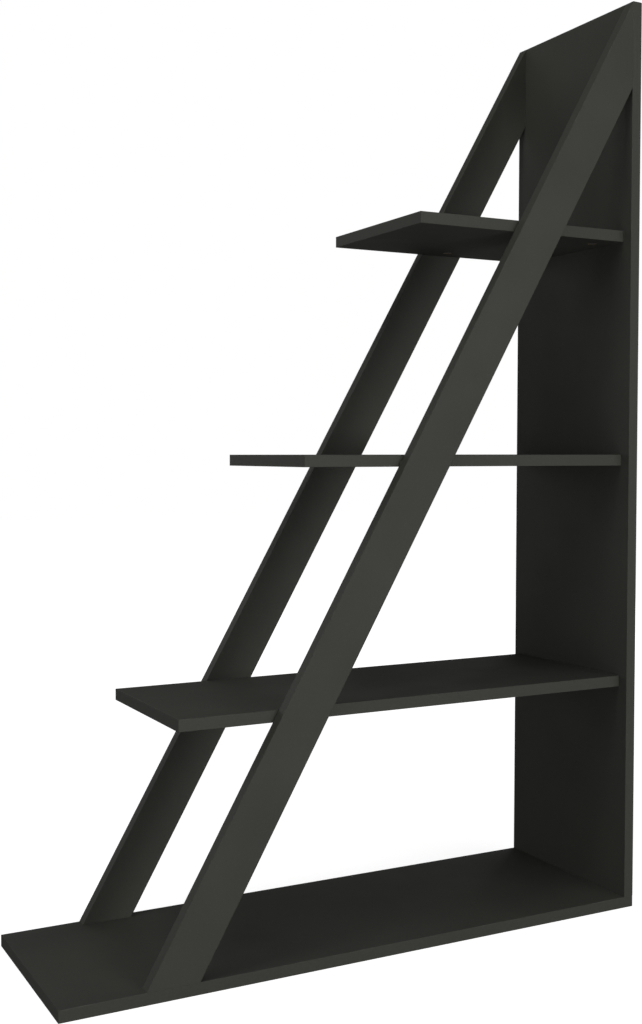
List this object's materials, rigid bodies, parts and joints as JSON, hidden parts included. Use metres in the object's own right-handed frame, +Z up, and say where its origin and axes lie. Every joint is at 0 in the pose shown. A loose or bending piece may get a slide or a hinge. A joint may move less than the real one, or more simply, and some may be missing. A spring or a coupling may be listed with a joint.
{
  "type": "bookcase",
  "caption": "Tall ladder bookcase in anthracite board: side panel on a long base, leaning front and rear rails, and shelves that shorten upwards between them.",
  "frame": {"origin": "middle of the footprint, on the floor, at the bottom centre of the bounding box", "axes": "+Z up; +X along the base towards the side panel; the front faces -Y"},
  "size_m": [1.001, 0.295, 1.5],
  "materials": {
    "melamine_board": "matte",
    "edge_band": "matte",
    "zinc_cam": "satin",
    "zinc_bolt": "satin",
    "zinc_screw": "satin",
    "beech_dowel": "matte",
    "cap_plastic": "matte"
  },
  "bodies": {
    "bookcase": {"side_panel": "melamine_board", "base_board": "melamine_board", "front_rail": "melamine_board", "rear_rail": "melamine_board", "lower_shelf": "melamine_board", "middle_shelf": "melamine_board", "upper_shelf": "melamine_board", "panel_front_band": "edge_band", "panel_rear_band": "edge_band", "panel_top_band": "edge_band", "base_front_band": "edge_band", "base_rear_band": "edge_band", "base_left_band": "edge_band", "base_right_band": "edge_band", "front_rail_upper_band": "edge_band", "front_rail_lower_band": "edge_band", "rear_rail_upper_band": "edge_band", "rear_rail_lower_band": "edge_band", "lower_shelf_front_band": "edge_band", "lower_shelf_rear_band": "edge_band", "lower_shelf_end_band": "edge_band", "middle_shelf_front_band": "edge_band", "middle_shelf_rear_band": "edge_band", "middle_shelf_end_band": "edge_band", "upper_shelf_front_band": "edge_band", "upper_shelf_rear_band": "edge_band", "upper_shelf_end_band": "edge_band", "lower_shelf_cam_bolts": "zinc_bolt", "middle_shelf_cam_bolts": "zinc_bolt", "upper_shelf_cam_bolts": "zinc_bolt", "panel_foot_screws": "zinc_screw", "rail_foot_screws": "zinc_screw", "rail_top_screws": "zinc_screw", "base_dowels": "beech_dowel", "lower_shelf_dowels": "beech_dowel", "middle_shelf_dowels": "beech_dowel", "upper_shelf_dowels": "beech_dowel", "screw_caps": "cap_plastic"},
    "lower_shelf_cam_panel_front_body": {"lower_shelf_cam_panel_front": "zinc_cam"},
    "lower_shelf_cam_panel_rear_body": {"lower_shelf_cam_panel_rear": "zinc_cam"},
    "lower_shelf_cam_front_rail_body": {"lower_shelf_cam_front_rail": "zinc_cam"},
    "lower_shelf_cam_rear_rail_body": {"lower_shelf_cam_rear_rail": "zinc_cam"},
    "middle_shelf_cam_panel_front_body": {"middle_shelf_cam_panel_front": "zinc_cam"},
    "middle_shelf_cam_panel_rear_body": {"middle_shelf_cam_panel_rear": "zinc_cam"},
    "middle_shelf_cam_front_rail_body": {"middle_shelf_cam_front_rail": "zinc_cam"},
    "middle_shelf_cam_rear_rail_body": {"middle_shelf_cam_rear_rail": "zinc_cam"},
    "upper_shelf_cam_panel_front_body": {"upper_shelf_cam_panel_front": "zinc_cam"},
    "upper_shelf_cam_panel_rear_body": {"upper_shelf_cam_panel_rear": "zinc_cam"},
    "upper_shelf_cam_front_rail_body": {"upper_shelf_cam_front_rail": "zinc_cam"},
    "upper_shelf_cam_rear_rail_body": {"upper_shelf_cam_rear_rail": "zinc_cam"}
  },
  "joints": [
    {"name": "lower_shelf_cam_panel_front_turn", "type": "hinge", "parent": "bookcase", "child": "lower_shelf_cam_panel_front_body", "pos_m": [0.448, -0.0925, 0.3771], "axis": [0, 0, 1], "range_deg": [-190, 0]},
    {"name": "lower_shelf_cam_panel_rear_turn", "type": "hinge", "parent": "bookcase", "child": "lower_shelf_cam_panel_rear_body", "pos_m": [0.448, 0.0925, 0.3771], "axis": [0, 0, 1], "range_deg": [-190, 0]},
    {"name": "lower_shelf_cam_front_rail_turn", "type": "hinge", "parent": "bookcase", "child": "lower_shelf_cam_front_rail_body", "pos_m": [-0.14051, -0.0955, 0.3771], "axis": [0, 0, 1], "range_deg": [-190, 0]},
    {"name": "lower_shelf_cam_rear_rail_turn", "type": "hinge", "parent": "bookcase", "child": "lower_shelf_cam_rear_rail_body", "pos_m": [-0.14051, 0.0955, 0.3771], "axis": [0, 0, 1], "range_deg": [-190, 0]},
    {"name": "middle_shelf_cam_panel_front_turn", "type": "hinge", "parent": "bookcase", "child": "middle_shelf_cam_panel_front_body", "pos_m": [0.448, -0.0925, 0.7476], "axis": [0, 0, 1], "range_deg": [-190, 0]},
    {"name": "middle_shelf_cam_panel_rear_turn", "type": "hinge", "parent": "bookcase", "child": "middle_shelf_cam_panel_rear_body", "pos_m": [0.448, 0.0925, 0.7476], "axis": [0, 0, 1], "range_deg": [-190, 0]},
    {"name": "middle_shelf_cam_front_rail_turn", "type": "hinge", "parent": "bookcase", "child": "middle_shelf_cam_front_rail_body", "pos_m": [0.0734, -0.0955, 0.7476], "axis": [0, 0, 1], "range_deg": [-190, 0]},
    {"name": "middle_shelf_cam_rear_rail_turn", "type": "hinge", "parent": "bookcase", "child": "middle_shelf_cam_rear_rail_body", "pos_m": [0.0734, 0.0955, 0.7476], "axis": [0, 0, 1], "range_deg": [-190, 0]},
    {"name": "upper_shelf_cam_panel_front_turn", "type": "hinge", "parent": "bookcase", "child": "upper_shelf_cam_panel_front_body", "pos_m": [0.448, -0.0925, 1.1181], "axis": [0, 0, 1], "range_deg": [-190, 0]},
    {"name": "upper_shelf_cam_panel_rear_turn", "type": "hinge", "parent": "bookcase", "child": "upper_shelf_cam_panel_rear_body", "pos_m": [0.448, 0.0925, 1.1181], "axis": [0, 0, 1], "range_deg": [-190, 0]},
    {"name": "upper_shelf_cam_front_rail_turn", "type": "hinge", "parent": "bookcase", "child": "upper_shelf_cam_front_rail_body", "pos_m": [0.28731, -0.0955, 1.1181], "axis": [0, 0, 1], "range_deg": [-190, 0]},
    {"name": "upper_shelf_cam_rear_rail_turn", "type": "hinge", "parent": "bookcase", "child": "upper_shelf_cam_rear_rail_body", "pos_m": [0.28731, 0.0955, 1.1181], "axis": [0, 0, 1], "range_deg": [-190, 0]}
  ]
}
